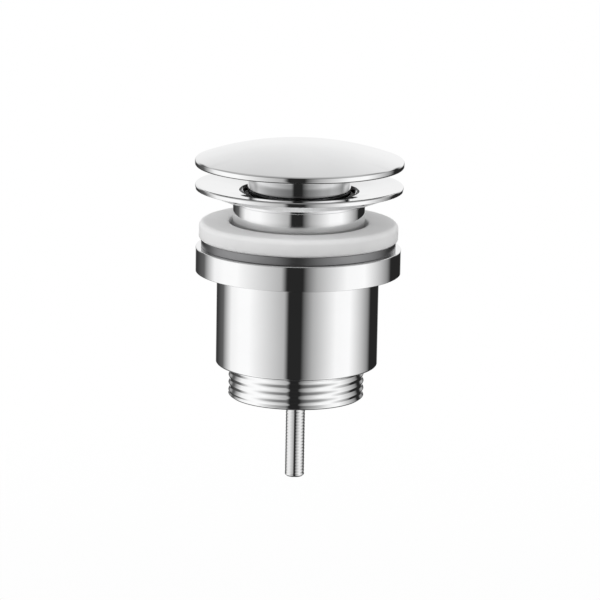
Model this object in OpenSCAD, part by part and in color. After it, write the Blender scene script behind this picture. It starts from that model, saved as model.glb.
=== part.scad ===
// Pop up basin waste with a click cartridge and a central tie screw.
// Millimetres, +Z up. The origin is on the axis, where the neck meets the flange's cone.
// The plug is drawn raised, as it stands when the waste is open.

/* [Cap and plug] */
// Diameter of the domed cap
cap_d = 64.2; // [58:0.1:70]
// Height of the dome, from the cap's lower edge to its crown
cap_rise = 7.6; // [7:0.1:10]
// Height of the cap's edge, up to its roll
cap_edge = 1.3; // [1:0.1:1.8]
// Radius of the roll from the dome to its edge band
cap_roll = 0.9; // [0.6:0.1:2]
// Radius of the rounded lip under the edge band
cap_lip = 0.7; // [0.3:0.1:0.8]
// Wall of the cap
cap_wall = 1.8; // [1.4:0.1:2.2]
// Diameter of the boss inside the cap
boss_d = 14; // [12:0.5:18]
// Clear gap between the raised cap and the flange's rim
plug_gap = 5.7; // [4.5:0.1:6.5]
// Diameter of the skirt under the cap
skirt_d = 31.7; // [29:0.1:33]
// Wall of the skirt
skirt_wall = 2; // [1.5:0.1:3]
// Thickness of the skirt's closed top
web_t = 1.5; // [1:0.1:2]
// Reach of the black seal ring past the skirt
seal_out = 1.4; // [1.2:0.1:1.8]
// Height of the black seal ring
seal_h = 1.6; // [1.4:0.1:2.4]
// Height of the lip under the seal ring
seal_lip_h = 1.2; // [0.8:0.1:1.6]

/* [Flange and neck] */
// Diameter of the flange
flange_d = 64.1; // [60:0.1:70]
// Height of the flange's rim above the neck
flange_rise = 5.65; // [5:0.05:7]
// Thickness of the flange at its rim
rim_t = 1.4; // [1:0.1:1.8]
// Depth of the dish below the rim
dish_depth = 1.9; // [1.5:0.05:3]
// Width by which the mouth is wider than the seal's seat
mouth_gap = 1.05; // [0.9:0.05:1.6]
// Outer diameter of the neck
neck_d = 40.6; // [38:0.2:43]
// Wall of the neck
neck_wall = 1.6; // [1.2:0.1:2]
// Width of a spider arm
arm_w = 3; // [2:0.1:4]
// Height of the upper spider's arms
arm_h = 5; // [4:0.5:8]

/* [Click cartridge] */
// Diameter of the plunger's stem
stem_d = 8; // [7:0.1:9]
// Diameter of the guide body of plunger and rotor
guide_d = 10.4; // [10.2:0.1:11.4]
// Height of the guide ribs above the guide body
rib_h = 1.5; // [1.2:0.1:2]
// Wall of the ratchet sleeve outside its grooves
sleeve_wall = 0.75; // [0.6:0.05:1.2]
// Wall of the cartridge's barrel
barrel_wall = 1.45; // [1:0.05:2]
// Length of the plunger's guide body
head_len = 4; // [3:0.5:6]
// Height of the crown teeth
tooth_h = 1; // [0.6:0.1:1.2]
// Length of the spring when the plug is raised
spring_len = 12; // [11:0.1:15]
// Wire of the spring
wire_d = 0.8; // [0.5:0.05:0.8]

/* [Basin washers] */
// Open height between the flange's cone and the basin washer
basin_gap = 5.95; // [3:0.05:12]
// Diameter of the basin washer
washer_d = 61.2; // [56:0.1:62]
// Thickness of the basin washer
washer_t = 5.3; // [4:0.1:8]
// Diameter of the backing ring under the washer
backing_d = 59.8; // [54:0.2:61]
// Thickness of the backing ring
backing_t = 2.6; // [1.5:0.1:4]

/* [Lower body] */
// Diameter of the lower body's flange
collar_d = 63.2; // [60:0.1:68]
// Thickness of the lower body's flange
collar_t = 7.65; // [6:0.05:10]
// Diameter of the lower body
body_d = 50; // [48:0.5:54]
// Wall of the lower body
body_wall = 2; // [1.5:0.1:2.4]
// Thickness of the lower body's floor
body_floor = 2.8; // [2:0.1:4]
// Outside diameter of the tail's pipe thread
tail_d = 41.91; // [41.91]
// Length of the tail
tail_len = 10.1; // [9:0.1:16]
// Wall of the tail
tail_wall = 2.65; // [2:0.05:3.2]
// Height of the lower spider's arms
tail_arm_h = 7; // [5:0.5:9]

/* [Tie screw] */
// Diameter of the tie screw
screw_d = 6; // [5:0.5:6]
// Diameter of the screw's head
head_d = 10; // [9:0.5:11]
// Height of the screw's head
head_h = 4; // [3:0.5:5]
// Length of screw that stands out below the tail
screw_out = 26; // [22:0.5:40]

/* [Fits] */
// Radial clearance of a sliding or turning fit
slide_fit = 0.05; // [0.02:0.01:0.1]
// Axial clearance between pieces that move past each other
run_gap = 0.3; // [0.2:0.05:0.4]

/* [Hidden] */
$fn = 96;

// Small sizes that no other size follows
edge = 0.5;           // broken edge on turned parts
overlap = 1;          // how far a cutter runs past a face
skirt_recess = 1.5;   // how far the skirt's top hides above the cap's edge
thin_washer_t = 0.6;  // fibre and thrust washers
nut_t = 3;            // cap lock nut
nut_flats = 13;       // cap lock nut across its flats
o_ring_w = 1.2;       // cord of the stem's O-ring
collar_lip_t = 1.6;   // collar above the barrel
collar_spigot = 4;    // collar inside the barrel
floor_t = 2;          // barrel floor
seal_grip = 0.8;      // depth of the seal's groove in the skirt
seal_lip_out = 0.8;   // reach of the lip under the seal
seal_dip = 1.2;       // how far the raised seal's top lies below the mouth
mouth_bevel = 0.3;    // bevel at the mouth of the dish
rim_land = 1;         // flat land on the flange's rim
hub_wall = 1.5;       // wall of the upper hub round the screw's head
tail_hub_wall = 3.4;  // wall of the lower hub round the screw
tie_washer_t = 0.8;   // washer under the screw's head
head_room = 1.6;      // space above the screw's head
neck_tail = 2;        // neck below the upper spider
washer_play = 1;      // radial play of washer and backing ring round the neck
spider_arms = 4;      // arms of each spider
ribs = 4;             // ribs of plunger and rotor, and grooves of the sleeve
land_w = 2.6;         // width of a land of the sleeve
rib_w = 1.9;          // width of a rotor rib
guide_w = 1.3;        // width of a plunger rib
slant = 1.2;          // rise of the sawtooth ends
start_angle = 18.5;   // rotor rib from its groove's middle, at rest
index_margin = 1.2;   // travel left once the rotor's ribs clear the lands
tooth_share = 0.9;    // share of a crown tooth's pitch that its root takes
pilot_wall = 0.8;     // plunger's wall round the rotor's pilot, at the stem
pilot_len = 2.6;      // rotor pilot inside the plunger
stem_step = 0.6;      // rotor stem inside the guide radius
guide_stem_len = 3;   // rotor stem inside the spring
spring_turns = 6.5;   // all turns, with the closed ones
closed_pitch = 1.05;  // pitch of a closed turn, in wire diameters
wire_steps = 24;      // path steps in a turn of the spring
wire_sides = 8;       // sides of the spring's wire
thread_relief = 1.5;  // depth of the groove between body and tail thread
slot_w = 1.5;         // screwdriver slot
slot_h = 1.6;         // depth of the slot

// Radii
cap_r = cap_d / 2;
boss_r = boss_d / 2;
skirt_r = skirt_d / 2;
flange_r = flange_d / 2;
neck_r = neck_d / 2;
neck_bore_r = neck_r - neck_wall;
seal_in_r = skirt_r - seal_grip;
seal_r = skirt_r + seal_out;
seal_seat_r = seal_r + 2 * slide_fit;
mouth_r = seal_seat_r + mouth_gap;
stem_r = stem_d / 2;
guide_r = guide_d / 2;
rib_r = guide_r + rib_h;
land_r = guide_r + slide_fit;
groove_r = rib_r + slide_fit;
sleeve_r = groove_r + sleeve_wall;
barrel_in_r = sleeve_r + slide_fit;
barrel_r = barrel_in_r + barrel_wall;
pilot_r = stem_r - pilot_wall;
seat_r = barrel_in_r - run_gap;
spring_stem_r = guide_r - stem_step;
spring_r = spring_stem_r + run_gap + wire_d;
screw_r = screw_d / 2;
head_r = head_d / 2;
head_bore_r = head_r + run_gap;
hub_r = head_bore_r + hub_wall;
tail_hub_r = screw_r + tail_hub_wall;
washer_in_r = neck_r + washer_play;
collar_r = collar_d / 2;
body_r = body_d / 2;
body_bore_r = body_r - body_wall;
tail_r = tail_d / 2;
tail_bore_r = tail_r - tail_wall;
tail_root_r = tail_r - thread_relief;

// Heights, from the cap down
cap_edge_z = flange_rise + plug_gap;
crown_z = cap_edge_z + cap_rise;
web_z = cap_edge_z + skirt_recess;
boss_z = web_z + thin_washer_t;
stem_top_z = crown_z - cap_wall - edge;
nut_top_z = web_z - web_t;
nut_z = nut_top_z - nut_t;
travel = plug_gap - run_gap;
collar_top_z = nut_z - travel - run_gap;
barrel_top_z = collar_top_z - collar_lip_t;
sleeve_top_z = barrel_top_z - collar_spigot;
head_top_z = sleeve_top_z - slide_fit;
crown_teeth_z = head_top_z - head_len;
rotor_top_z = crown_teeth_z - tooth_h - run_gap;
sleeve_z = rotor_top_z - travel + index_margin;
seat_top_z = sleeve_z - run_gap;
seat_z = seat_top_z - thin_washer_t;
spring_top_z = seat_z - thin_washer_t;
spring_z = spring_top_z - spring_len;
hub_top_z = spring_z - floor_t;
screw_top_z = hub_top_z - head_room;
head_seat_z = screw_top_z - head_h - tie_washer_t;
spider_z = head_seat_z - arm_h;
neck_z = spider_z - neck_tail;

// Heights of the clamp, from the basin washer down
washer_z = -basin_gap - washer_t;
backing_z = washer_z - backing_t;
collar_z = backing_z - collar_t;
body_floor_z = neck_z - basin_gap - run_gap;
body_z = body_floor_z - body_floor;
tail_z = body_z - tail_len;
tail_arm_z = body_z - tail_arm_h;
screw_z = tail_z - screw_out;

// Dome of the cap: a crown circle that touches the rolled edge's circle from outside
roll_r = cap_r - cap_roll;
roll_z = cap_edge_z + cap_edge;
dome_h = crown_z - roll_z;
dome_r = (roll_r * roll_r + dome_h * dome_h - cap_roll * cap_roll) / (2 * (dome_h - cap_roll));
dome_z = crown_z - dome_r;

// Seal ring on the foot of the skirt, and its seat in the neck when the plug is down
mouth_z = flange_rise - dish_depth;
seal_top_z = mouth_z - seal_dip;
seal_z = seal_top_z - seal_h;
skirt_z = seal_z - seal_lip_h;
seal_seat_top_z = seal_top_z - travel;
seal_seat_z = seal_z - travel - edge;

// Ring with square edges
module ring(r_out, r_in, z, h) {
    translate([0, 0, z])
        difference() {
            cylinder(r = r_out, h = h);
            translate([0, 0, -overlap]) cylinder(r = r_in, h = h + 2 * overlap);
        }
}

// Ring with broken outer edges
module soft_ring(r_out, r_in, z, h, bevel) {
    rotate_extrude()
        polygon([
            [r_in, z], [r_out - bevel, z], [r_out, z + bevel],
            [r_out, z + h - bevel], [r_out - bevel, z + h], [r_in, z + h]
        ]);
}

// Upright outline pushed out along the radius and repeated round the axis
module radial_blades(count, first, reach, outline) {
    for (i = [0 : count - 1])
        rotate([0, 0, first + i * 360 / count])
            rotate([90, 0, 90])
                linear_extrude(height = reach) polygon(outline);
}

// Arms between a hub and a wall
module spider(r_hub, r_wall, z, h) {
    for (i = [0 : spider_arms - 1])
        rotate([0, 0, 45 + i * 360 / spider_arms])
            translate([r_hub - edge, -arm_w / 2, z])
                cube([r_wall - r_hub + 2 * edge, arm_w, h]);
}

// Half section of the solid dome: crown arc, rolled edge, upright band and rounded lip
module dome_section() {
    roll_angle = atan2(roll_r, roll_z - dome_z);
    reach = 2 * dome_r;
    intersection() {
        union() {
            intersection() {
                translate([0, dome_z]) circle(r = dome_r);
                translate([0, dome_z])
                    polygon([[0, 0], [reach * sin(roll_angle), reach * cos(roll_angle)], [0, reach]]);
            }
            translate([roll_r, roll_z]) circle(r = cap_roll);
            translate([cap_r - cap_lip, cap_edge_z + cap_lip]) circle(r = cap_lip);
            translate([0, cap_edge_z]) square([cap_r - cap_lip, cap_edge]);
            translate([0, cap_edge_z + cap_lip]) square([cap_r, cap_edge - cap_lip]);
        }
        translate([0, cap_edge_z]) square([cap_r, cap_rise]);
    }
}

// Domed shell with a rolled edge and a boss for the stem
module cap_dome() {
    boss_hole_r = stem_r + slide_fit;
    color("gainsboro")
        difference() {
            rotate_extrude() {
                difference() {
                    dome_section();
                    intersection() {
                        translate([0, dome_z]) circle(r = dome_r - cap_wall);
                        translate([0, cap_edge_z - overlap])
                            square([cap_r - cap_wall, cap_rise + overlap]);
                    }
                }
                translate([0, boss_z]) square([boss_r, crown_z - cap_wall / 2 - boss_z]);
            }
            translate([0, 0, boss_z - overlap])
                cylinder(r = boss_hole_r, h = stem_top_z + slide_fit - boss_z + overlap);
        }
}

// Fibre washer between the cap's boss and the skirt
module cap_washer() {
    color("peru") ring(boss_r, stem_r + slide_fit, web_z, thin_washer_t);
}

// Closed skirt that carries the seal ring
module plug_skirt() {
    skirt_in_r = skirt_r - skirt_wall;
    color("silver")
        rotate_extrude()
            polygon([
                [stem_r + slide_fit, web_z], [skirt_r - edge, web_z], [skirt_r, web_z - edge],
                [skirt_r, seal_top_z], [seal_in_r, seal_top_z], [seal_in_r, seal_z],
                [skirt_r + seal_lip_out, seal_z], [skirt_r + seal_lip_out, skirt_z + edge],
                [skirt_r + seal_lip_out - edge, skirt_z], [skirt_in_r, skirt_z],
                [skirt_in_r, nut_top_z], [stem_r + slide_fit, nut_top_z]
            ]);
}

// Rubber ring that closes the seat in the neck
module plug_seal() {
    color("black") soft_ring(seal_r, seal_in_r, seal_z, seal_h, edge);
}

// Stem with a ribbed guide body and a crown of teeth
module plunger() {
    bore_r = pilot_r + slide_fit;
    half_tooth = guide_r * tan(180 / (2 * ribs)) * tooth_share;
    tip_z = crown_teeth_z - tooth_h;
    color("whitesmoke")
        difference() {
            union() {
                translate([0, 0, crown_teeth_z + head_len / 2])
                    cylinder(r = stem_r, h = stem_top_z - crown_teeth_z - head_len / 2);
                translate([0, 0, crown_teeth_z]) cylinder(r = guide_r, h = head_len);
                intersection() {
                    translate([0, 0, crown_teeth_z]) cylinder(r = rib_r, h = head_len);
                    radial_blades(ribs, 0, rib_r + overlap, [
                        [-guide_w / 2, crown_teeth_z - overlap], [guide_w / 2, crown_teeth_z - overlap],
                        [guide_w / 2, head_top_z + overlap], [-guide_w / 2, head_top_z + overlap]
                    ]);
                }
                intersection() {
                    translate([0, 0, tip_z - overlap])
                        cylinder(r = guide_r - slide_fit, h = tooth_h + 2 * overlap);
                    radial_blades(2 * ribs, 0, rib_r + overlap, [
                        [0, tip_z], [half_tooth, crown_teeth_z], [half_tooth, crown_teeth_z + edge],
                        [-half_tooth, crown_teeth_z + edge], [-half_tooth, crown_teeth_z]
                    ]);
                }
            }
            translate([0, 0, tip_z - overlap])
                cylinder(r = bore_r, h = pilot_len + run_gap + overlap);
        }
}

// Thin hexagon nut under the skirt's web
module cap_lock_nut() {
    color("goldenrod")
        difference() {
            translate([0, 0, nut_z]) cylinder(r = nut_flats / sqrt(3), h = nut_t, $fn = 6);
            translate([0, 0, nut_z - overlap])
                cylinder(r = stem_r + slide_fit, h = nut_t + 2 * overlap);
        }
}

// Collar that closes the barrel and guides the stem, with spanner flats
module cartridge_collar() {
    ring_z = barrel_top_z - collar_spigot / 2;
    flat_x = barrel_r - edge;
    color("goldenrod")
        difference() {
            union() {
                translate([0, 0, barrel_top_z]) cylinder(r = barrel_r, h = collar_lip_t);
                translate([0, 0, sleeve_top_z])
                    cylinder(r = barrel_in_r - slide_fit, h = collar_spigot + edge);
            }
            translate([0, 0, sleeve_top_z - overlap])
                cylinder(r = stem_r + slide_fit, h = collar_top_z - sleeve_top_z + 2 * overlap);
            translate([0, 0, ring_z - o_ring_w / 2 - slide_fit])
                cylinder(r = stem_r + o_ring_w + 2 * slide_fit, h = o_ring_w + 2 * slide_fit);
            for (side = [-1, 1])
                translate([side * (flat_x + barrel_r / 2), 0, barrel_top_z + collar_lip_t / 2])
                    cube([barrel_r, 2 * barrel_r, collar_lip_t + overlap], center = true);
        }
}

// O-ring in the collar's groove, round the stem
module stem_o_ring() {
    ring_z = barrel_top_z - collar_spigot / 2;
    color("black")
        translate([0, 0, ring_z])
            rotate_extrude()
                translate([stem_r + slide_fit + o_ring_w / 2, 0]) circle(r = o_ring_w / 2);
}

// Tube of the cartridge, closed by a floor, with a skirt that screws on the hub
module cartridge_barrel() {
    skirt_in_r = hub_r + slide_fit;
    foot_z = head_seat_z + thin_washer_t;
    color("dimgray")
        rotate_extrude()
            polygon([
                [0, hub_top_z], [skirt_in_r, hub_top_z], [skirt_in_r, foot_z], [barrel_r, foot_z],
                [barrel_r, barrel_top_z], [barrel_in_r, barrel_top_z], [barrel_in_r, spring_z],
                [0, spring_z]
            ]);
}

// Fixed sleeve: lands with sawtooth ends, and grooves for the ribs between them
module ratchet_sleeve() {
    color("ivory") {
        ring(sleeve_r, groove_r, sleeve_z, sleeve_top_z - sleeve_z);
        intersection() {
            ring(sleeve_r - sleeve_wall / 2, land_r, sleeve_z, sleeve_top_z - sleeve_z);
            radial_blades(ribs, 180 / ribs, sleeve_r, [
                [-land_w / 2, sleeve_z], [land_w / 2, sleeve_z + slant],
                [land_w / 2, sleeve_top_z + overlap], [-land_w / 2, sleeve_top_z + overlap]
            ]);
        }
    }
}

// Rotor: ribs with slanted tops, a notched face under the crown teeth, and two pilots
module ratchet_rotor() {
    half_notch = guide_r * tan(180 / (2 * ribs)) * tooth_share;
    color("orange")
        difference() {
            union() {
                translate([0, 0, seat_top_z]) cylinder(r = guide_r, h = rotor_top_z - seat_top_z);
                translate([0, 0, rotor_top_z - edge]) cylinder(r = pilot_r, h = pilot_len + edge);
                translate([0, 0, seat_z]) cylinder(r = seat_r, h = thin_washer_t);
                translate([0, 0, spring_top_z - guide_stem_len])
                    cylinder(r = spring_stem_r, h = seat_z - spring_top_z + guide_stem_len + edge / 2);
                intersection() {
                    translate([0, 0, seat_top_z - edge])
                        cylinder(r = rib_r, h = rotor_top_z - seat_top_z + edge);
                    radial_blades(ribs, start_angle, rib_r + overlap, [
                        [-rib_w / 2, seat_top_z - edge], [rib_w / 2, seat_top_z - edge],
                        [rib_w / 2, rotor_top_z], [-rib_w / 2, rotor_top_z - slant]
                    ]);
                }
            }
            difference() {
                radial_blades(2 * ribs, start_angle + 90 / ribs, rib_r + overlap, [
                    [0, rotor_top_z - tooth_h], [half_notch, rotor_top_z + slide_fit],
                    [-half_notch, rotor_top_z + slide_fit]
                ]);
                translate([0, 0, rotor_top_z - tooth_h - overlap])
                    cylinder(r = pilot_r, h = tooth_h + 2 * overlap);
            }
        }
}

// Steel washer between the rotor and the spring
module thrust_washer() {
    color("lightsteelblue")
        ring(seat_r, spring_stem_r + slide_fit, spring_top_z, thin_washer_t);
}

// Height of the spring's wire after a number of turns, with one closed turn at each end
function wire_z(turn) =
    let(closed = wire_d * closed_pitch,
        open_turns = spring_turns - 2,
        open_len = spring_len - wire_d - 2 * closed - 2 * slide_fit,
        lead = min(turn, 1) * closed,
        middle = min(max(turn - 1, 0), open_turns) * open_len / open_turns,
        end = max(turn - 1 - open_turns, 0) * closed)
    spring_z + slide_fit + wire_d / 2 + lead + middle + end;

// Coil spring, swept as a ring of points along its helix
module return_spring() {
    steps = floor(spring_turns * wire_steps);
    points = [
        for (i = [0 : steps]) let(a = i * 360 / wire_steps)
            for (j = [0 : wire_sides - 1]) let(b = j * 360 / wire_sides, r = spring_r + wire_d / 2 * cos(b))
                [r * cos(a), r * sin(a), wire_z(i / wire_steps) + wire_d / 2 * sin(b)]
    ];
    sides = [
        for (i = [0 : steps - 1]) for (j = [0 : wire_sides - 1])
            let(k = (j + 1) % wire_sides, low = i * wire_sides, high = low + wire_sides)
                each [[low + j, low + k, high + k], [low + j, high + k, high + j]]
    ];
    first_end = [[for (j = [0 : wire_sides - 1]) wire_sides - 1 - j]];
    last_end = [[for (j = [0 : wire_sides - 1]) steps * wire_sides + j]];
    color("lightgray") polyhedron(points = points, faces = concat(sides, first_end, last_end));
}

// Dished flange with its neck and the seal's seat, and a spider whose hub takes screw and cartridge
module waste_flange() {
    rim_z = flange_rise - rim_t;
    seat_step = abs(neck_bore_r - seal_seat_r);
    color("gainsboro")
        difference() {
            union() {
                rotate_extrude()
                    polygon([
                        [neck_bore_r, neck_z], [neck_r, neck_z], [neck_r, 0],
                        [flange_r - edge, rim_z], [flange_r, rim_z + edge],
                        [flange_r, flange_rise - edge], [flange_r - edge, flange_rise],
                        [flange_r - rim_land, flange_rise], [mouth_r + mouth_bevel, mouth_z],
                        [mouth_r, mouth_z - mouth_bevel], [mouth_r, seal_z], [seal_seat_r, seal_seat_top_z],
                        [seal_seat_r, seal_seat_z], [neck_bore_r, seal_seat_z - seat_step]
                    ]);
                spider(hub_r, neck_bore_r, spider_z, arm_h);
                translate([0, 0, spider_z]) cylinder(r = hub_r, h = hub_top_z - spider_z);
            }
            translate([0, 0, head_seat_z]) cylinder(r = head_bore_r, h = hub_top_z - head_seat_z + overlap);
            translate([0, 0, spider_z - overlap]) cylinder(r = screw_r + slide_fit, h = arm_h + 2 * overlap);
        }
}

// Flat seal between the barrel's foot and the spider
module barrel_washer() {
    color("peru") ring(barrel_r, hub_r + slide_fit, head_seat_z, thin_washer_t);
}

// Slotted cheese-head screw with a bevelled end
module tie_screw() {
    seat_z = screw_top_z - head_h;
    color("silver")
        difference() {
            rotate_extrude()
                polygon([
                    [0, screw_z], [screw_r - edge, screw_z], [screw_r, screw_z + edge], [screw_r, seat_z],
                    [head_r, seat_z], [head_r, screw_top_z - edge], [head_r - edge, screw_top_z],
                    [0, screw_top_z]
                ]);
            translate([-head_d, -slot_w / 2, screw_top_z - slot_h])
                cube([2 * head_d, slot_w, slot_h + overlap]);
        }
}

// Washer under the head of the tie screw
module tie_washer() {
    color("lightsteelblue") ring(head_r, screw_r + slide_fit, head_seat_z, tie_washer_t);
}

// Thick soft washer against the underside of the basin
module basin_washer() {
    color("white") soft_ring(washer_d / 2, washer_in_r, washer_z, washer_t, edge);
}

// Smooth ring between the basin washer and the lower body
module backing_ring() {
    color("dimgray") ring(backing_d / 2, washer_in_r, backing_z, backing_t);
}

// Lower body: flange, tube, floor and threaded tail, with a spider whose hub is tapped for the screw
module lower_body() {
    color("gainsboro")
        difference() {
            union() {
                rotate_extrude()
                    polygon([
                        [body_bore_r, backing_z], [collar_r - edge, backing_z],
                        [collar_r, backing_z - edge], [collar_r, collar_z + edge],
                        [collar_r - edge, collar_z], [body_r, collar_z], [body_r, body_z + edge],
                        [body_r - edge, body_z], [tail_root_r, body_z], [tail_root_r, body_z - edge],
                        [tail_r, body_z - edge - tail_r + tail_root_r], [tail_r, tail_z + 2 * edge],
                        [tail_r - 2 * edge, tail_z], [tail_bore_r, tail_z], [tail_bore_r, body_floor_z],
                        [body_bore_r, body_floor_z]
                    ]);
                spider(tail_hub_r, tail_bore_r, tail_arm_z, tail_arm_h);
                translate([0, 0, tail_arm_z]) cylinder(r = tail_hub_r, h = tail_arm_h);
            }
            translate([0, 0, tail_arm_z - overlap])
                cylinder(r = screw_r + slide_fit, h = tail_arm_h + 2 * overlap);
        }
}

cap_dome();
cap_washer();
plug_skirt();
plug_seal();
plunger();
cap_lock_nut();
cartridge_collar();
stem_o_ring();
cartridge_barrel();
ratchet_sleeve();
ratchet_rotor();
thrust_washer();
return_spring();
waste_flange();
barrel_washer();
tie_screw();
tie_washer();
basin_washer();
backing_ring();
lower_body();
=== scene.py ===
# Looks of a pop up basin waste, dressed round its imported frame.
import math

import bpy
import bmesh
from mathutils import Matrix, Vector


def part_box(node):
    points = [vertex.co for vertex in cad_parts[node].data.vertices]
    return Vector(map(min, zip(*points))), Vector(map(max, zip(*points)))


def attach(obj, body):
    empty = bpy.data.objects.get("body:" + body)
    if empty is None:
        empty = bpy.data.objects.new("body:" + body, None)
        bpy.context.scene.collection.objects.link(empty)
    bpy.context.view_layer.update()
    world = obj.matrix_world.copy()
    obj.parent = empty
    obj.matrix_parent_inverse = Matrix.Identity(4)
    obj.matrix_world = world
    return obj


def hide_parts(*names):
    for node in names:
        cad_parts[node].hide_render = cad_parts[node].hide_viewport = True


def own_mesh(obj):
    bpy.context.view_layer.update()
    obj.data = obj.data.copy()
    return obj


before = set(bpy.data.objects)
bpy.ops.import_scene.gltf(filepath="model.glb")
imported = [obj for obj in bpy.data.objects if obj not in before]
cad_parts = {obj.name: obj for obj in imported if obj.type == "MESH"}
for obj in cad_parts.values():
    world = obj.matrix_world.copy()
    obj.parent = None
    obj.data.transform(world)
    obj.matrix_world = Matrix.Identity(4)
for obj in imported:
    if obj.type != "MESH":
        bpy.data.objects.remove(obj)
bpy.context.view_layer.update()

MM = 0.001
NEAR = 1e-6               # lengths that differ by less than this count as equal

# Fineness of the meshes
TURN_STEPS = 240          # faces round a turned piece
HUB_STEPS = 96            # round a spider's hub
SCREW_STEPS = 72          # round the tie screw
HEAD_STEPS = 24           # round each half of the screw's slotted head
FILLET_STEPS = 7          # across a fillet
BEVEL_STEPS = 3           # across a bevel
DOME_STEPS, ROLL_STEPS = 48, 12
PIPE_RUNG, SCREW_RUNG = 0.03, 0.08     # between a thread's rings of points, in millimetres

# Pipe thread of the tail and metric thread of the tie screw, in millimetres
PIPE_PITCH, PIPE_DEPTH = 2.309, 0.39
PIPE_GROOVE_Z = -52.6     # a groove's height on the -Y side
SCREW_PITCH, SCREW_DEPTH = 1.0, 0.13
THREAD_EDGE = 0.95        # near 1 the crests and roots are sharp, near 0 the thread is a plain wave
RUN_OUT = 0.4             # height over which a thread fades out at its top
END_SLOPE = 0.36          # steepest that a thread goes in from its lower end
CHAMFER_CORNER = 3        # corner of a threaded outline where the chamfer ends and the thread begins


def node_box(node):
    """Lowest and highest corner of a node, in millimetres."""
    low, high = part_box(node)
    return Vector(low) / MM, Vector(high) / MM


CAP_LOW, CAP_HIGH = node_box("cap_dome")
SKIRT_LOW, SKIRT_HIGH = node_box("plug_skirt")
SEAL_LOW, SEAL_HIGH = node_box("plug_seal")
FLANGE_LOW, FLANGE_HIGH = node_box("waste_flange")
WASHER_LOW, WASHER_HIGH = node_box("basin_washer")
BACKING_LOW, BACKING_HIGH = node_box("backing_ring")
BODY_LOW, BODY_HIGH = node_box("lower_body")
SCREW_LOW, SCREW_HIGH = node_box("tie_screw")
SPRING_LOW, SPRING_HIGH = node_box("return_spring")
TIE_WASHER_LOW, TIE_WASHER_HIGH = node_box("tie_washer")
BARREL_LOW = node_box("cartridge_barrel")[0]

# Sizes that the boxes don't give, in millimetres
CAP_BAND, CAP_ROLL, CAP_LIP, CAP_WALL = 1.3, 0.9, 0.7, 1.8
BOSS_R, CAP_WASHER_T, STEM_ROOF = 7.0, 0.6, 0.45
SKIRT_R, SKIRT_WALL, WEB_T, SEAL_GRIP = 15.85, 2.0, 1.5, 0.8
RIM_T, RIM_LAND, RIM_LEAN = 1.4, 1.2, 0.2
DISH_SWELL, MOUTH_R, MOUTH_Z = 0.2, 18.4, 3.75
LAND_CURVE, DISH_CURVE = 9.0, 60.0     # radii at the dish's edge and in its middle
SEAT_R, SEAT_TOP, SEAT_LOW = 17.35, -2.85, -4.95
NECK_R, NECK_BORE_R, NECK_TAIL = 20.3, 18.7, 2.0
WASHER_PLAY = 1.0
BODY_R, BODY_BORE_R, BODY_FLOOR, COLLAR_T = 25.0, 23.0, 2.8, 7.65
TAIL_R, TAIL_BORE_R, TAIL_LEN, TAIL_CHAMFER = 20.955, 18.305, 10.1, 0.4
RELIEF_DEPTH, RELIEF_H, RELIEF_SLOPE = 0.9, 0.4, 0.3
PIPE_START, PIPE_STOP = 0.13, 0.85     # from the chamfer and from the body to the pipe thread
STEM_HOLE_R, SCREW_HOLE_R = 4.05, 3.05
SCREW_R, SCREW_CHAMFER, SCREW_START, SHANK_LEN = 3.0, 0.5, 0.2, 3.0
SLOT_W, SLOT_H, HEAD_BEVEL = 1.5, 1.6, 0.3
HUB_R, HEAD_BORE_R, HUB_RISE, TAIL_HUB_R = 6.8, 5.3, 5.8, 6.4
ARM_W, ARM_BEVEL, TAIL_ARM_H = 3.0, 0.4, 7.0
ARM_ROOT, ARM_BITE = 0.5, 0.3          # how far a spider's arm reaches into its hub and into the wall
WIRE, COIL_TURNS, CLOSED_PITCH = 0.8, 6.5, 0.84

# Fillet radii in millimetres, from the sharpest edge to the softest
HAIR, CRISP, THIN, FINE, SMALL, EVEN = 0.05, 0.1, 0.15, 0.2, 0.3, 0.35
MILD, FAIR, FULL, WIDE, SOFTEST = 0.4, 0.5, 0.7, 1.0, 1.6


# Outlines and turned meshes

def unit(x, y):
    """Direction of a step in the outline's plane."""
    size = math.hypot(x, y)
    return x / size, y / size


def rounded(corners):
    """Points (r, z, normal r, normal z) of a closed outline, run with the solid on its left.

    Each corner is (r, z, fillet radius)."""
    points = []
    count = len(corners)
    for i, (r, z, fillet) in enumerate(corners):
        before = corners[i - 1]
        after = corners[(i + 1) % count]
        in_r, in_z = unit(r - before[0], z - before[1])
        out_r, out_z = unit(after[0] - r, after[1] - z)
        turn = math.atan2(in_r * out_z - in_z * out_r, in_r * out_r + in_z * out_z)
        reach = fillet * math.tan(abs(turn) / 2)
        start = (r - in_r * reach, z - in_z * reach)
        side = 1 if turn > 0 else -1
        centre = (start[0] - side * in_z * fillet, start[1] + side * in_r * fillet)
        first = math.atan2(-in_r, in_z)
        for k in range(FILLET_STEPS + 1):
            a = first + turn * k / FILLET_STEPS
            n_r, n_z = math.cos(a), math.sin(a)
            points.append((centre[0] + side * n_r * fillet, centre[1] + side * n_z * fillet, n_r, n_z))
    return points


def arc(centre_r, centre_z, radius, first, last, steps, side=1):
    """Points along an arc, by angles from the axis; side -1 turns the normals inwards."""
    points = []
    for k in range(steps + 1):
        a = first + (last - first) * k / steps
        s, c = math.sin(a), math.cos(a)
        points.append((centre_r + radius * s, centre_z + radius * c, side * s, side * c))
    return points


def mesh_object(name, verts, faces, normals=None):
    """Smooth mesh object from points in millimetres."""
    mesh = bpy.data.meshes.new(name)
    mesh.from_pydata([Vector(v) * MM for v in verts], [], faces)
    mesh.validate()
    mesh.update()
    for polygon in mesh.polygons:
        polygon.use_smooth = True
    if normals:
        mesh.normals_split_custom_set_from_vertices(normals)
    obj = bpy.data.objects.new(name, mesh)
    bpy.context.scene.collection.objects.link(obj)
    return obj


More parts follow.
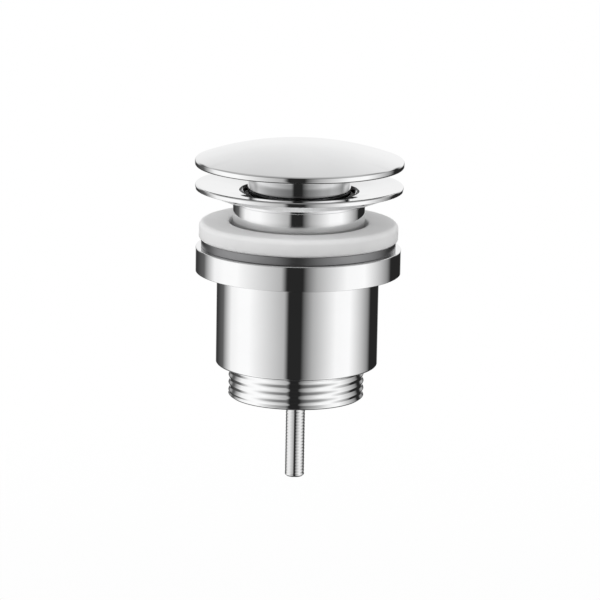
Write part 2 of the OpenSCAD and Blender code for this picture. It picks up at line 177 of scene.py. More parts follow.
def turned(name, points, steps=TURN_STEPS, thread=None):
    """Solid of revolution of a closed outline.

    thread(angle, r, z) may give another radius there, with its slopes by angle and by height."""
    verts, normals, rows = [], [], []
    for r, z, n_r, n_z in points:
        if r < NEAR:
            rows.append([len(verts)] * steps)
            verts.append((0, 0, z))
            normals.append((0, 0, 1 if n_z > 0 else -1))
            continue
        row = []
        for k in range(steps):
            a = 2 * math.pi * k / steps
            c, s = math.cos(a), math.sin(a)
            radius, slope_a, slope_z = thread(a, r, z) if thread else (r, 0, 0)
            normal = Vector((n_r, 0, n_z))
            if slope_a or slope_z:
                normal = Vector((1, -slope_a / radius, -slope_z)).normalized()
            row.append(len(verts))
            verts.append((radius * c, radius * s, z))
            normals.append((normal.x * c - normal.y * s, normal.x * s + normal.y * c, normal.z))
        rows.append(row)
    faces = []
    for i, low in enumerate(rows):
        high = rows[(i + 1) % len(rows)]
        if low[0] == low[1] and high[0] == high[1]:
            continue
        for k in range(steps):
            n = (k + 1) % steps
            face = [low[k], low[n], high[n], high[k]]
            faces.append(list(dict.fromkeys(face)))
    return mesh_object(name, verts, faces, normals)


def helix_thread(pitch, depth, crest_r, front_groove, bottom, top):
    """Right-hand thread on a cylinder of radius crest_r, between two heights.

    Its grooves are soft V shapes that fade out at the top and run out gently at the bottom.
    front_groove is the height of a groove on the -Y side."""
    def cut(a, z):
        phase = (z - front_groove) / pitch - (a + math.pi / 2) / (2 * math.pi)
        wave = math.asin(THREAD_EDGE * math.cos(2 * math.pi * phase)) / math.asin(THREAD_EDGE)
        groove = depth * (0.5 + 0.5 * wave) * min(1.0, (top - z) / RUN_OUT)
        return max(0.0, min(groove, END_SLOPE * (z - bottom)))

    def radius(a, r, z):
        if abs(r - crest_r) > NEAR or not bottom < z < top:
            return r, 0, 0
        step = 0.01
        slope_a = (cut(a - step, z) - cut(a + step, z)) / (2 * step)
        slope_z = (cut(a, z - step) - cut(a, z + step)) / (2 * step)
        return r - cut(a, z), slope_a, slope_z

    return radius


def rungs(r, low, high, step):
    """Plain points up a cylinder, close enough to carry a thread."""
    count = int((high - low) / step)
    return [(r, low + (high - low) * k / count, 1, 0) for k in range(1, count)]


def after_corner(points, corner, extra):
    """Outline with extra points after the fillet of a corner, counted from 1."""
    at = corner * (FILLET_STEPS + 1)
    return points[:at] + extra + points[at:]


# Nodes of materials and of the studio

def noise(nodes, links, scale, detail=3.0, stretch=(1, 1, 1)):
    """Output of a noise in object space, with features of a given count per metre."""
    coords = nodes.new("ShaderNodeTexCoord")
    mapping = nodes.new("ShaderNodeMapping")
    mapping.inputs["Scale"].default_value = stretch
    texture = nodes.new("ShaderNodeTexNoise")
    texture.inputs["Scale"].default_value = scale
    texture.inputs["Detail"].default_value = detail
    links.new(coords.outputs["Object"], mapping.inputs["Vector"])
    links.new(mapping.outputs["Vector"], texture.inputs["Vector"])
    return texture.outputs["Fac"]


def ramp(nodes, links, source, stops):
    """Colour output of a ramp with (place, colour) stops."""
    node = nodes.new("ShaderNodeValToRGB")
    while len(node.color_ramp.elements) < len(stops):
        node.color_ramp.elements.new(0.5)
    for element, (place, color) in zip(node.color_ramp.elements, stops):
        element.position = place
        element.color = (*color, 1)
    links.new(source, node.inputs["Fac"])
    return node.outputs["Color"]


def arithmetic(nodes, links, operation, first, second):
    """Output of a calculation with two sockets, or with a socket and a number."""
    node = nodes.new("ShaderNodeMath")
    node.operation = operation
    links.new(first, node.inputs[0])
    if isinstance(second, (int, float)):
        node.inputs[1].default_value = second
    else:
        links.new(second, node.inputs[1])
    return node.outputs["Value"]


def span(nodes, links, source, start, end, first=0, last=1, blend="LINEAR"):
    """Output that runs from one value to another while the source goes from start to end."""
    node = nodes.new("ShaderNodeMapRange")
    node.interpolation_type = blend
    node.inputs["From Min"].default_value = start
    node.inputs["From Max"].default_value = end
    node.inputs["To Min"].default_value = first
    node.inputs["To Max"].default_value = last
    links.new(source, node.inputs["Value"])
    return node.outputs["Result"]


def smooth(nodes, links, source, start, end, first=0, last=1):
    """Output like that of span, with soft ends."""
    return span(nodes, links, source, start, end, first, last, "SMOOTHSTEP")


def layer(nodes, links, blend, factor, under, over):
    """Colour output of one colour laid over another."""
    node = nodes.new("ShaderNodeMix")
    node.data_type = "RGBA"
    node.blend_type = blend
    if isinstance(factor, (int, float)):
        node.inputs["Factor"].default_value = factor
    else:
        links.new(factor, node.inputs["Factor"])
    links.new(under, node.inputs["A"])
    links.new(over, node.inputs["B"])
    return node.outputs["Result"]


# Materials

TINT_SPAN = (0.35, 0.65)          # values of a noise between which a colour changes
ROUGH_SPAN = (0.3, 0.7)           # and between which the roughness changes
SKIN_DEPTH = 0.00002              # depth of a fine relief, in metres
SMOOTHER, ROUGHER = 0.05, 0.08    # how far a moulded skin goes below and above its roughness
RING_SHARES = (0.7, 1.4)          # least and most of its roughness on turned metal

BRIGHT, SOFT = (0.97, 0.972, 0.975), (0.95, 0.952, 0.955)
POLISH, HAZE = 0.025, 0.045       # chrome's roughness where it is clean and where it is hazy

# The neck's foot gets rougher and takes painted shade between two heights in metres, and the cap's underside
# by the Z of its faces
# FOOT_PAINTED_SHADE is the colour of the painted shade at the neck's foot
FOOT_Z, FOOT_HAZE, FOOT_PAINTED_SHADE = (-0.0025, -0.0058), 0.2, (0.6, 0.6, 0.6)
# UNDER_PAINTED_SHADE is the colour of the painted shade on the cap's downward faces
UNDER_Z, UNDER_HAZE, UNDER_PAINTED_SHADE = (-0.3, -0.7), 0.35, (0.25, 0.25, 0.25)


def material(name, color, metallic, roughness):
    """Principled material and its nodes."""
    mat = bpy.data.materials.new(name)
    mat.use_nodes = True
    nodes, links = mat.node_tree.nodes, mat.node_tree.links
    shader = nodes["Principled BSDF"]
    shader.inputs["Base Color"].default_value = (*color, 1)
    shader.inputs["Metallic"].default_value = metallic
    shader.inputs["Roughness"].default_value = roughness
    return mat, nodes, links, shader


def tinted(nodes, links, shader, source, shade, light):
    """Let the base colour go between two tones with a noise."""
    tones = ramp(nodes, links, source, list(zip(TINT_SPAN, (shade, light))))
    links.new(tones, shader.inputs["Base Color"])


def roughened(nodes, links, shader, source, low, high):
    """Let the roughness go between two values with a noise."""
    links.new(span(nodes, links, source, *ROUGH_SPAN, low, high), shader.inputs["Roughness"])


def bump(nodes, links, shader, source, strength, depth):
    """Fine relief of a given depth in metres."""
    node = nodes.new("ShaderNodeBump")
    node.inputs["Strength"].default_value = strength
    node.inputs["Distance"].default_value = depth
    links.new(source, node.inputs["Height"])
    links.new(node.outputs["Normal"], shader.inputs["Normal"])


def plated(name, light, shade, polish, haze):
    """Polished plating with faint cloudy haze."""
    mat, nodes, links, shader = material(name, light, 1.0, polish)
    cloud = noise(nodes, links, scale=90)
    tinted(nodes, links, shader, cloud, shade, light)
    wipe = noise(nodes, links, scale=400, detail=4.0, stretch=(1, 1, 6))
    roughened(nodes, links, shader, wipe, polish, haze)
    return mat


def chrome(name):
    """Bright plating of the outer pieces."""
    return plated(name, BRIGHT, SOFT, POLISH, HAZE)


def hazed_with_painted_shade(mat, part, haze, shade):
    """Make a plating rougher, and darken its colour with painted shade, where part, an output of its nodes,
    goes to 1.
    """
    nodes, links = mat.node_tree.nodes, mat.node_tree.links
    shader = nodes["Principled BSDF"]
    polish = shader.inputs["Roughness"].links[0].from_socket
    rough = arithmetic(nodes, links, "MULTIPLY", part, haze)
    links.new(arithmetic(nodes, links, "ADD", polish, rough), shader.inputs["Roughness"])
    # Painted shade: the base colour is mixed towards the shade colour where part goes to 1
    painted_shade = nodes.new("ShaderNodeMix")
    painted_shade.data_type = "RGBA"
    painted_shade.inputs["B"].default_value = (*shade, 1)
    links.new(part, painted_shade.inputs["Factor"])
    links.new(shader.inputs["Base Color"].links[0].from_socket, painted_shade.inputs["A"])
    links.new(painted_shade.outputs["Result"], shader.inputs["Base Color"])
    return mat


def along_z(mat, node, output, start, end):
    """Output that rises to 1 while the Z of a node's output goes from start to end."""
    nodes, links = mat.node_tree.nodes, mat.node_tree.links
    split = nodes.new("ShaderNodeSeparateXYZ")
    links.new(nodes.new(node).outputs[output], split.inputs["Vector"])
    return smooth(nodes, links, split.outputs["Z"], start, end)


def flange_chrome():
    """Plating that is rougher towards the foot of the neck, darkened there with painted shade."""
    mat = chrome("flange_chrome")
    return hazed_with_painted_shade(mat, along_z(mat, "ShaderNodeTexCoord", "Object", *FOOT_Z), FOOT_HAZE, FOOT_PAINTED_SHADE)


def cap_chrome():
    """Plating that is rougher on the faces that look down, darkened there with painted shade."""
    mat = chrome("cap_chrome")
    return hazed_with_painted_shade(mat, along_z(mat, "ShaderNodeNewGeometry", "Normal", *UNDER_Z), UNDER_HAZE, UNDER_PAINTED_SHADE)


def moulded(name, light, shade, roughness, grain=2500, relief=SKIN_DEPTH):
    """Moulded plastic or rubber with a fine grain, of a given count per metre."""
    mat, nodes, links, shader = material(name, light, 0.0, roughness)
    cloud = noise(nodes, links, scale=120)
    tinted(nodes, links, shader, cloud, shade, light)
    skin = noise(nodes, links, scale=grain, detail=2.0)
    bump(nodes, links, shader, skin, strength=0.25, depth=relief)
    roughened(nodes, links, shader, skin, roughness - SMOOTHER, roughness + ROUGHER)
    return mat


def lathe_cut(name, light, shade, roughness):
    """Turned metal with fine rings round the axis."""
    mat, nodes, links, shader = material(name, light, 1.0, roughness)
    rings = noise(nodes, links, scale=60, detail=2.0, stretch=(1, 1, 90))
    tinted(nodes, links, shader, rings, shade, light)
    least, most = (roughness * part for part in RING_SHARES)
    roughened(nodes, links, shader, rings, least, most)
    bump(nodes, links, shader, rings, strength=0.15, depth=SKIN_DEPTH)
    return mat


def milky(name):
    """Milky soft polymer that lets some light in."""
    mat = moulded(name, (0.9, 0.9, 0.9), (0.87, 0.87, 0.87), 0.5, grain=1800)
    shader = mat.node_tree.nodes["Principled BSDF"]
    shader.inputs["Specular IOR Level"].default_value = 0.2
    shader.inputs["Subsurface Weight"].default_value = 0.7
    shader.inputs["Subsurface Radius"].default_value = (1.0, 1.0, 1.0)
    shader.inputs["Subsurface Scale"].default_value = 0.004
    return mat


CHROME = chrome("polished_chrome")
FLANGE_CHROME = flange_chrome()
CAP_CHROME = cap_chrome()
DARK_NICKEL = plated("dark_nickel", (0.3, 0.3, 0.305), (0.27, 0.27, 0.275), 0.28, 0.34)
SCREW_STEEL = plated("bright_steel", (0.86, 0.86, 0.86), (0.82, 0.82, 0.82), 0.03, 0.06)
STEEL = lathe_cut("stainless_steel", (0.8, 0.8, 0.8), (0.7, 0.7, 0.7), 0.22)
BRASS = lathe_cut("turned_brass", (0.8, 0.6, 0.3), (0.7, 0.5, 0.22), 0.28)
SPRING_WIRE = lathe_cut("spring_wire", (0.68, 0.68, 0.7), (0.55, 0.55, 0.57), 0.25)
BLACK_RUBBER = moulded("black_rubber", (0.02, 0.02, 0.02), (0.012, 0.012, 0.012), 0.45)
WHITE_ACETAL = moulded("white_acetal", (0.86, 0.86, 0.84), (0.8, 0.8, 0.78), 0.4)
GREY_ACETAL = moulded("grey_acetal", (0.2, 0.2, 0.21), (0.16, 0.16, 0.17), 0.4)
ORANGE_ACETAL = moulded("orange_acetal", (0.75, 0.3, 0.05), (0.66, 0.25, 0.04), 0.4)
FIBRE = moulded("red_fibre", (0.4, 0.12, 0.06), (0.28, 0.08, 0.04), 0.7, grain=900, relief=0.00005)
MILKY = milky("milky_seal")


def place(obj, body, slot, mat, *nodes):
    """Dress a piece, let it ride on its body and stand for its nodes."""
    obj.data.materials.clear()
    obj.data.materials.append(mat)
    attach(obj, body)
    if nodes:
        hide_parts(*nodes)
    return obj


# Cap, plug and seal

def cap():
    """Domed cap with a rolled edge and a boss for the stem."""
    r, low, crown = CAP_HIGH.x, CAP_LOW.z, CAP_HIGH.z
    roll_r, roll_z = r - CAP_ROLL, low + CAP_BAND
    rise = crown - roll_z
    dome_r = (roll_r ** 2 + rise ** 2 - CAP_ROLL ** 2) / (2 * (rise - CAP_ROLL))
    dome_z = crown - dome_r
    lean = math.atan2(roll_r, roll_z - dome_z)
    roll = arc(roll_r, roll_z, CAP_ROLL, math.pi / 2, lean, ROLL_STEPS)
    dome = arc(0, dome_z, dome_r, lean, 0, DOME_STEPS)
    inner_r, inner_edge_r = dome_r - CAP_WALL, r - CAP_WALL
    boss_angle, edge_angle = math.asin(BOSS_R / inner_r), math.asin(inner_edge_r / inner_r)
    inside = arc(0, dome_z, inner_r, boss_angle, edge_angle, DOME_STEPS, -1)
    boss_z, stem_top = SKIRT_HIGH.z + CAP_WASHER_T, crown - CAP_WALL - STEM_ROOF
    boss = rounded([
        (0, stem_top, 0), (STEM_HOLE_R, stem_top, CRISP), (STEM_HOLE_R, boss_z, CRISP),
        (BOSS_R, boss_z, FINE), (BOSS_R, inside[0][1], FINE),
    ])
    lip = rounded([
        (inner_edge_r, inside[-1][1], 0), (inner_edge_r, low, FINE), (r, low, CAP_LIP), (r, roll_z, 0),
    ])
    corner = FILLET_STEPS + 1
    boss, lip = boss[corner:-corner], lip[corner:3 * corner]
    points = [(0, stem_top, 0, -1)] + boss + inside + lip + roll + dome[1:]
    return place(turned("cap", points), "plug", "chrome_cap", CAP_CHROME, "cap_dome")


def skirt():
    """Closed skirt with the groove for the seal ring."""
    groove_r, inner_r, lip_r = SKIRT_R - SEAL_GRIP, SKIRT_R - SKIRT_WALL, SKIRT_HIGH.x
    top, foot = SKIRT_HIGH.z, SKIRT_LOW.z
    web = top - WEB_T
    points = rounded([
        (inner_r, foot, FINE), (lip_r, foot, MILD), (lip_r, SEAL_LOW.z, CRISP),
        (groove_r, SEAL_LOW.z, CRISP), (groove_r, SEAL_HIGH.z, CRISP), (SKIRT_R, SEAL_HIGH.z, CRISP),
        (SKIRT_R, top, MILD), (STEM_HOLE_R, top, CRISP), (STEM_HOLE_R, web, CRISP), (inner_r, web, MILD),
    ])
    return place(turned("plug_body", points), "plug", "chrome_plug", CHROME, "plug_skirt")


def seal():
    """Rubber ring in the skirt's groove."""
    inner_r, r = SKIRT_R - SEAL_GRIP, SEAL_HIGH.x
    low, high = SEAL_LOW.z, SEAL_HIGH.z
    points = rounded([(inner_r, low, CRISP), (r, low, MILD), (r, high, FAIR), (inner_r, high, CRISP)])
    return place(turned("plug_ring", points), "plug", "black_rubber", BLACK_RUBBER, "plug_seal")


# Flange, washers and lower body

def flange():
    """Dished flange with a rolled rim, and the neck below it with the seal's seat inside."""
    r, rise, low = FLANGE_HIGH.x, FLANGE_HIGH.z, FLANGE_LOW.z
    land_r = r - RIM_LAND
    middle_r, middle_z = (land_r + MOUTH_R) / 2, (rise + MOUTH_Z) / 2 + DISH_SWELL
    seat_foot = SEAT_LOW - (NECK_BORE_R - SEAT_R)
    points = rounded([
        (NECK_R, low, SMALL), (NECK_R, 0, CRISP), (r - RIM_LEAN, rise - RIM_T, THIN), (r, rise, FAIR),
        (land_r, rise, LAND_CURVE), (middle_r, middle_z, DISH_CURVE),
        (MOUTH_R, MOUTH_Z, CRISP), (MOUTH_R, SEAL_LOW.z, WIDE),
        (SEAT_R, SEAT_TOP, WIDE), (SEAT_R, SEAT_LOW, MILD), (NECK_BORE_R, seat_foot, MILD),
        (NECK_BORE_R, low, SMALL),
    ])
    return place(turned("flange", points), "cup", "chrome_flange", FLANGE_CHROME, "waste_flange")


def arm(angle, inner, outer, low, high):
    """Bevelled bar of one arm of a spider, in metres."""
    mesh = bmesh.new()
    bmesh.ops.create_cube(mesh, size=1)
    size = Matrix.Diagonal((outer - inner, ARM_W, high - low, 1))
    shift = Matrix.Translation(((inner + outer) / 2, 0, (low + high) / 2))
    turn = Matrix.Rotation(angle, 4, "Z")
    bmesh.ops.transform(mesh, matrix=turn @ shift @ size, verts=mesh.verts)
    bmesh.ops.bevel(mesh, geom=mesh.edges[:], offset=ARM_BEVEL, segments=BEVEL_STEPS, affect="EDGES")
    bmesh.ops.transform(mesh, matrix=Matrix.Scale(MM, 4), verts=mesh.verts)
    return mesh


def spider(name, body, slot, hub, hub_r, wall_r, low, high):
    """Hub outline and four bevelled arms between X and Y, joined as one piece."""
    obj = turned(name, rounded(hub), HUB_STEPS)
    joined = bmesh.new()
    joined.from_mesh(obj.data)
    for degrees in (45, 135, 225, 315):
        bar = arm(math.radians(degrees), hub_r - ARM_ROOT, wall_r + ARM_BITE, low, high)
        part = bpy.data.meshes.new(name)
        bar.to_mesh(part)
        bar.free()
        joined.from_mesh(part)
        bpy.data.meshes.remove(part)
    joined.to_mesh(obj.data)
    joined.free()
    return place(obj, body, slot, CHROME)


def flange_spider():
    """Hub and arms inside the neck."""
    low, high, seat = FLANGE_LOW.z + NECK_TAIL, BARREL_LOW.z + HUB_RISE, TIE_WASHER_LOW.z
    hub = [
        (SCREW_HOLE_R, low, FINE), (HUB_R, low, MILD), (HUB_R, high, FINE), (HEAD_BORE_R, high, FINE),
        (HEAD_BORE_R, seat, FINE), (SCREW_HOLE_R, seat, FINE),
    ]
    return spider("flange_spider", "cup", "chrome_flange", hub, HUB_R, NECK_BORE_R, low, seat)


def washer():
    """Thick soft washer with rounded edges."""
    r, inner_r = WASHER_HIGH.x, NECK_R + WASHER_PLAY
    low, high = WASHER_LOW.z, WASHER_HIGH.z
    points = rounded([(inner_r, low, FAIR), (r, low, FULL), (r, high, SOFTEST), (inner_r, high, FAIR)])
    return place(turned("soft_washer", points), "tail", "milky_seal", MILKY, "basin_washer")


def backing():
    """Smooth ring between the washer and the lower body."""
    r, inner_r = BACKING_HIGH.x, NECK_R + WASHER_PLAY
    low, high = BACKING_LOW.z, BACKING_HIGH.z
    points = rounded([(inner_r, low, CRISP), (r, low, FINE), (r, high, SMALL), (inner_r, high, CRISP)])
    return place(turned("smooth_ring", points), "tail", "dark_nickel", DARK_NICKEL, "backing_ring")


def body():
    """Lower body: flange, tube, floor and a tail with its pipe thread."""
    r, top, tail = BODY_HIGH.x, BODY_HIGH.z, BODY_LOW.z
    collar, bottom = top - COLLAR_T, tail + TAIL_LEN
    floor_z = bottom + BODY_FLOOR
    relief_r, relief_z = TAIL_R - RELIEF_DEPTH, bottom - RELIEF_H
    points = rounded([
        (TAIL_BORE_R, tail, FINE), (TAIL_R - TAIL_CHAMFER, tail, FINE), (TAIL_R, tail + TAIL_CHAMFER, SMALL),
        (TAIL_R, relief_z - RELIEF_SLOPE, FINE), (relief_r, relief_z, CRISP),
        (relief_r, bottom, CRISP), (BODY_R, bottom, FULL),
        (BODY_R, collar, SMALL), (r, collar, FINE), (r, top, EVEN),
        (BODY_BORE_R, top, MILD), (BODY_BORE_R, floor_z, MILD), (TAIL_BORE_R, floor_z, SMALL),
    ])
    low, high = tail + TAIL_CHAMFER + PIPE_START, bottom - PIPE_STOP
    thread = helix_thread(PIPE_PITCH, PIPE_DEPTH, TAIL_R, PIPE_GROOVE_Z, low, high)
    points = after_corner(points, CHAMFER_CORNER, rungs(TAIL_R, low, high, PIPE_RUNG))
    obj = turned("tail_body", points, TURN_STEPS, thread)
    return place(obj, "tail", "chrome_body", CHROME, "lower_body")


def body_spider():
    """Hub and arms inside the tail."""
    high = BODY_LOW.z + TAIL_LEN
    low = high - TAIL_ARM_H
    hub = [
        (SCREW_HOLE_R, low, FINE), (TAIL_HUB_R, low, FAIR), (TAIL_HUB_R, high, FAIR),
        (SCREW_HOLE_R, high, FINE),
    ]
    return spider("tail_spider", "tail", "chrome_body", hub, TAIL_HUB_R, TAIL_BORE_R, low, high)


def screw():
    """Tie screw with its thread and the lower part of its cheese head."""
    head_r, low, high = SCREW_HIGH.x, SCREW_LOW.z, SCREW_HIGH.z - SLOT_H
    seat = TIE_WASHER_HIGH.z
    points = rounded([
        (0, low, 0), (SCREW_R - SCREW_CHAMFER, low, SMALL), (SCREW_R, low + SCREW_CHAMFER, SMALL),
        (SCREW_R, seat, HAIR), (head_r, seat, FINE), (head_r, high, 0), (0, high, 0),
    ])
    start, stop = low + SCREW_CHAMFER + SCREW_START, seat - SHANK_LEN
    thread = helix_thread(SCREW_PITCH, SCREW_DEPTH, SCREW_R, low, start, stop)
    points = after_corner(points, CHAMFER_CORNER, rungs(SCREW_R, start, stop, SCREW_RUNG))
    corner = FILLET_STEPS + 1
    points = [(0, low, 0, -1)] + points[corner:-corner] + [(0, high, 0, 1)]
    obj = turned("tie_bolt", points, SCREW_STEPS, thread)
    return place(obj, "tie", "steel", SCREW_STEEL, "tie_screw")


def screw_head():
    """Upper part of the screw's head: the two halves beside its slot."""
    r, low, high = SCREW_HIGH.x * MM, (SCREW_HIGH.z - SLOT_H) * MM, SCREW_HIGH.z * MM
    edge = math.asin(SLOT_W / 2 / SCREW_HIGH.x)
    mesh = bmesh.new()
    for side in (0, math.pi):
        angles = [side + edge + (math.pi - 2 * edge) * k / HEAD_STEPS for k in range(HEAD_STEPS + 1)]
        base = mesh.faces.new([mesh.verts.new((r * math.cos(a), r * math.sin(a), low)) for a in angles])
        raised = bmesh.ops.extrude_face_region(mesh, geom=[base], use_keep_orig=True)["geom"]
        lifted = [v for v in raised if isinstance(v, bmesh.types.BMVert)]
        bmesh.ops.translate(mesh, vec=(0, 0, high - low), verts=lifted)
    top = [e for e in mesh.edges if all(v.co.z > high - NEAR for v in e.verts)]
    bmesh.ops.bevel(mesh, geom=top, offset=HEAD_BEVEL * MM, segments=BEVEL_STEPS, affect="EDGES")
    bmesh.ops.recalc_face_normals(mesh, faces=mesh.faces)
    data = bpy.data.meshes.new("bolt_head")
    mesh.to_mesh(data)
    mesh.free()
    obj = bpy.data.objects.new("bolt_head", data)
    bpy.context.scene.collection.objects.link(obj)
    return place(obj, "tie", "steel", SCREW_STEEL)


def spring():
    """Round wire coil with closed ends."""
    wire_r = WIRE / 2
    r = SPRING_HIGH.x - wire_r
    low, high = SPRING_LOW.z + wire_r, SPRING_HIGH.z - wire_r
    open_turns = COIL_TURNS - 2
    open_pitch = (high - low - 2 * CLOSED_PITCH) / open_turns
    steps, sides = 40, 12
    count = int(COIL_TURNS * steps)
    verts, faces = [], []
    for i in range(count + 1):
        turn = i / steps
        closed = min(turn, 1) + max(turn - COIL_TURNS + 1, 0)
        z = low + closed * CLOSED_PITCH + min(max(turn - 1, 0), open_turns) * open_pitch
        a = 2 * math.pi * turn
        for j in range(sides):
            b = 2 * math.pi * j / sides
            radius = r + wire_r * math.cos(b)
            verts.append((radius * math.cos(a), radius * math.sin(a), z + wire_r * math.sin(b)))
    for i in range(count):
        for j in range(sides):
            k = (j + 1) % sides
            faces.append((i * sides + j, i * sides + k, (i + 1) * sides + k, (i + 1) * sides + j))
    faces.append(tuple(reversed(range(sides))))
    faces.append(tuple(range(count * sides, (count + 1) * sides)))
    obj = place(mesh_object("coil", verts, faces), "cup", "spring_steel", SPRING_WIRE, "return_spring")
    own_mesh(obj)
    return obj


def dress_inner_nodes():
    """Materials of the pieces that keep their own meshes."""
    finishes = {
        "cap_washer": FIBRE, "plunger": WHITE_ACETAL, "cap_lock_nut": BRASS,
        "cartridge_collar": BRASS, "stem_o_ring": BLACK_RUBBER, "cartridge_barrel": GREY_ACETAL,
        "ratchet_sleeve": WHITE_ACETAL, "ratchet_rotor": ORANGE_ACETAL, "thrust_washer": STEEL,
        "barrel_washer": FIBRE, "tie_washer": STEEL,
    }
    for node, mat in finishes.items():
        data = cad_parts[node].data
        data.materials.clear()
        data.materials.append(mat)


# Camera, studio and floor

IMAGE = 600                       # image side, in pixels
AIM_PIXEL = (296.3, 362.4)        # where the lower body's bottom centre shows
DISTANCE = 1050                   # from the camera to that point, in millimetres
ELEVATION = 13.3                  # of the camera above that point, in degrees
PIXELS_PER_MM = 3.229             # at that point
ROLL = 1.0                        # clockwise lean of the object in the picture, in degrees


def camera():
    """Camera on the -Y side, aimed so that the lower body shows where it does in the photo."""
    aim = Vector((0, 0, BODY_LOW.z + TAIL_LEN))
    e = math.radians(ELEVATION)
    back = Vector((0, -math.cos(e), math.sin(e)))
    focal = PIXELS_PER_MM * DISTANCE
    data = bpy.data.cameras.new("camera")
    data.sensor_width = 36
    data.lens = focal / IMAGE * data.sensor_width
    data.clip_start, data.clip_end = 0.01, 100
    obj = bpy.data.objects.new("camera", data)
    bpy.context.scene.collection.objects.link(obj)
    turn = (-back).to_track_quat("-Z", "Y").to_matrix().to_4x4()
    right = math.atan((IMAGE / 2 - AIM_PIXEL[0]) / focal)
    up = math.atan((AIM_PIXEL[1] - IMAGE / 2) / focal)
    turn = turn @ Matrix.Rotation(math.radians(ROLL), 4, "Z")
    turn = turn @ Matrix.Rotation(up, 4, "X") @ Matrix.Rotation(-right, 4, "Y")
    obj.matrix_world = Matrix.Translation((aim + back * DISTANCE) * MM) @ turn
    bpy.context.scene.camera = obj


# Brightness round the horizon, by angle from the camera's side, rightwards in degrees
CARDS = [
    (-180, 0.9), (-172, 0.9), (-164, 0.03), (-150, 0.05), (-130, 0.12), (-107, 0.92), (-90, 1.0),
    (-72, 1.0), (-18, 0.45), (-12, 0.02), (6, 0.02), (11, 0.17), (22, 0.44), (57, 0.97), (80, 1.0),
    (119, 0.27), (127, 0.02), (164, 0.02), (172, 0.9), (180, 0.9),
]
# Brightness of the sky, from the back horizon over the top to the front, in degrees
SKY = [(0, 0.95), (13, 0.93), (53, 0.66), (90, 0.5), (120, 0.38)]
# Gain of the sky from left to right, by a direction's X
GAIN = [(-0.3, 0.88), (0.0, 0.97), (0.3, 1.0)]
GAIN_LIMIT = 0.5
# Where the parts of the studio pass into each other, by a direction's Y (backwards) and Z (upwards)
BESIDE_Y, BESIDE_Z, BESIDE_SHARE = (0.6, 0.35), (0.9, 0.62), 0.97
BEHIND_Y, BEHIND_Z = (0.7, 0.9), (-0.15, 0.1)
SKY_Z = (0.31, 0.49)
GROUND_Z, GROUND_LIGHT = (-0.98, -0.8), 0.05


def studio():
    """White studio: bright cards at the sides, a dark strip in front, and a bright back between dark bands.

    The sky takes over above the cards and behind, and the cards' tones shade its sides."""
    world = bpy.data.worlds.new("studio")
    bpy.context.scene.world = world
    world.use_nodes = True
    nodes, links = world.node_tree.nodes, world.node_tree.links
    nodes.clear()
    coords = nodes.new("ShaderNodeTexCoord")
    split = nodes.new("ShaderNodeSeparateXYZ")
    links.new(coords.outputs["Generated"], split.inputs["Vector"])
    x, y, z = (split.outputs[axis] for axis in "XYZ")

    def share(source, low, high):
        """Output that goes from 0 to 1 while the source goes from low to high."""
        above_low = arithmetic(nodes, links, "SUBTRACT", source, low)
        return arithmetic(nodes, links, "DIVIDE", above_low, high - low)

    def greys(source, low, high, stops):
        """Greys by a share of the way from low to high, where the stops have their places."""
        stops = [((place - low) / (high - low), (v,) * 3) for place, v in stops]
        return ramp(nodes, links, source, stops)

    def both(first, second):
        """Product of an output with another one or a number."""
        return arithmetic(nodes, links, "MULTIPLY", first, second)

    turn = arithmetic(nodes, links, "ARCTAN2", x, both(y, -1))
    cards = greys(share(turn, -math.pi, math.pi), -180, 180, CARDS)
    climb = arithmetic(nodes, links, "ARCTAN2", z, y)
    sky = greys(share(climb, 0, math.pi), 0, 180, SKY)
    gain = greys(share(x, -GAIN_LIMIT, GAIN_LIMIT), -GAIN_LIMIT, GAIN_LIMIT, GAIN)
    sky = layer(nodes, links, "MULTIPLY", 1.0, sky, gain)
    beside = both(smooth(nodes, links, y, *BESIDE_Y, 0, BESIDE_SHARE), smooth(nodes, links, z, *BESIDE_Z))
    sky = layer(nodes, links, "MULTIPLY", beside, sky, cards)
    behind = both(smooth(nodes, links, y, *BEHIND_Y), smooth(nodes, links, z, *BEHIND_Z))
    open_sky = arithmetic(nodes, links, "MAXIMUM", behind, smooth(nodes, links, z, *SKY_Z))
    light = layer(nodes, links, "MIX", open_sky, cards, sky)
    ground = smooth(nodes, links, z, *GROUND_Z, GROUND_LIGHT, 1)
    light = layer(nodes, links, "MULTIPLY", 1.0, light, ground)

    lit = nodes.new("ShaderNodeBackground")
    links.new(light, lit.inputs["Color"])
    plain = nodes.new("ShaderNodeBackground")
    plain.inputs["Color"].default_value = (1, 1, 1, 1)
    path = nodes.new("ShaderNodeLightPath")
    mix = nodes.new("ShaderNodeMixShader")
    links.new(path.outputs["Is Camera Ray"], mix.inputs["Fac"])
    links.new(lit.outputs["Background"], mix.inputs[1])
    links.new(plain.outputs["Background"], mix.inputs[2])
    out = nodes.new("ShaderNodeOutputWorld")
    links.new(mix.outputs["Shader"], out.inputs["Surface"])


# Lamps: name, X in metres and power in watts, and what they share
LAMPS = (("left_lamp", -0.7, 4.0), ("right_lamp", 0.7, 2.8))
LAMP_Y, LAMP_Z, LAMP_SIZE = -0.45, 0.4, 0.6


def side_lamps():
    """Soft lamps at the left and right for the matt pieces; the polished ones don't show them."""
    for name, x, power in LAMPS:
        data = bpy.data.lights.new(name, "AREA")
        data.size = LAMP_SIZE
        data.energy = power
        obj = bpy.data.objects.new(name, data)
        obj.location = (x, LAMP_Y, LAMP_Z)
        obj.rotation_euler = (-obj.location).to_track_quat("-Z", "Y").to_euler()
        obj.visible_glossy = False
        bpy.context.scene.collection.objects.link(obj)


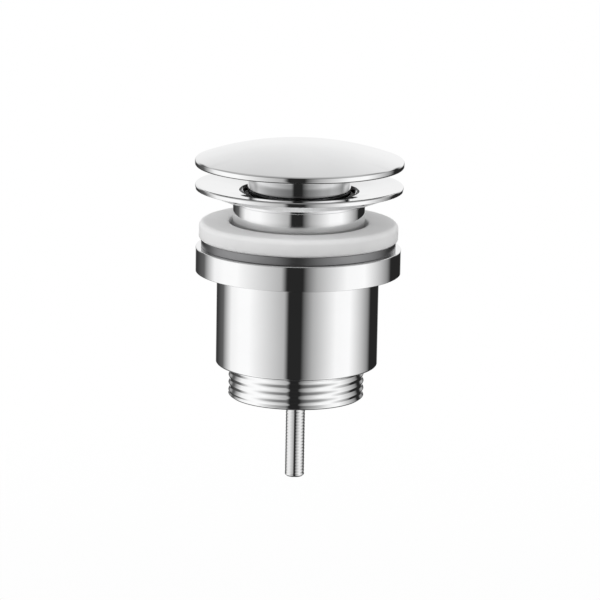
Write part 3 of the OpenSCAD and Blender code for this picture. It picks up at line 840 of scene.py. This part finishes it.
FLOOR_R = 0.6                     # radius of the floor, in metres
FLOOR_DROP = 0.12                 # from the screw's end down to the floor
FLOOR_FADE = (0.35, 0.98)         # shares of the radius between which the floor fades out
FLOOR_WHITE = 0.985               # share of plain white in what the camera sees of it
FLOOR_STEPS = 96


def floor():
    """Pale round floor that fades into the white background; the polished pieces don't show it."""
    mesh = bmesh.new()
    bmesh.ops.create_circle(mesh, cap_ends=True, segments=FLOOR_STEPS, radius=FLOOR_R)
    data = bpy.data.meshes.new("floor")
    mesh.to_mesh(data)
    mesh.free()
    obj = bpy.data.objects.new("floor", data)
    obj.location.z = SCREW_LOW.z * MM - FLOOR_DROP
    bpy.context.scene.collection.objects.link(obj)
    mat, nodes, links, shader = material("pale_floor", (0.15, 0.15, 0.15), 0.0, 0.9)
    coords = nodes.new("ShaderNodeTexCoord")
    length = nodes.new("ShaderNodeVectorMath")
    length.operation = "LENGTH"
    links.new(coords.outputs["Object"], length.inputs[0])
    inner, outer = (FLOOR_R * part for part in FLOOR_FADE)
    fade = smooth(nodes, links, length.outputs["Value"], inner, outer, 1, 0)
    glow = nodes.new("ShaderNodeEmission")
    path = nodes.new("ShaderNodeLightPath")
    seen = arithmetic(nodes, links, "MULTIPLY", path.outputs["Is Camera Ray"], FLOOR_WHITE)
    pale = nodes.new("ShaderNodeMixShader")
    links.new(seen, pale.inputs["Fac"])
    links.new(shader.outputs["BSDF"], pale.inputs[1])
    links.new(glow.outputs["Emission"], pale.inputs[2])
    clear = nodes.new("ShaderNodeBsdfTransparent")
    mix = nodes.new("ShaderNodeMixShader")
    links.new(fade, mix.inputs["Fac"])
    links.new(clear.outputs["BSDF"], mix.inputs[1])
    links.new(pale.outputs["Shader"], mix.inputs[2])
    links.new(mix.outputs["Shader"], nodes["Material Output"].inputs["Surface"])
    data.materials.append(mat)
    obj.visible_glossy = False


cap()
skirt()
seal()
flange()
flange_spider()
washer()
backing()
body()
body_spider()
screw()
screw_head()
spring()
dress_inner_nodes()
camera()
studio()
side_lamps()
floor()
bpy.context.scene.view_settings.view_transform = "Standard"
bpy.context.scene.cycles.glossy_bounces = 10
bpy.context.scene.cycles.max_bounces = 14
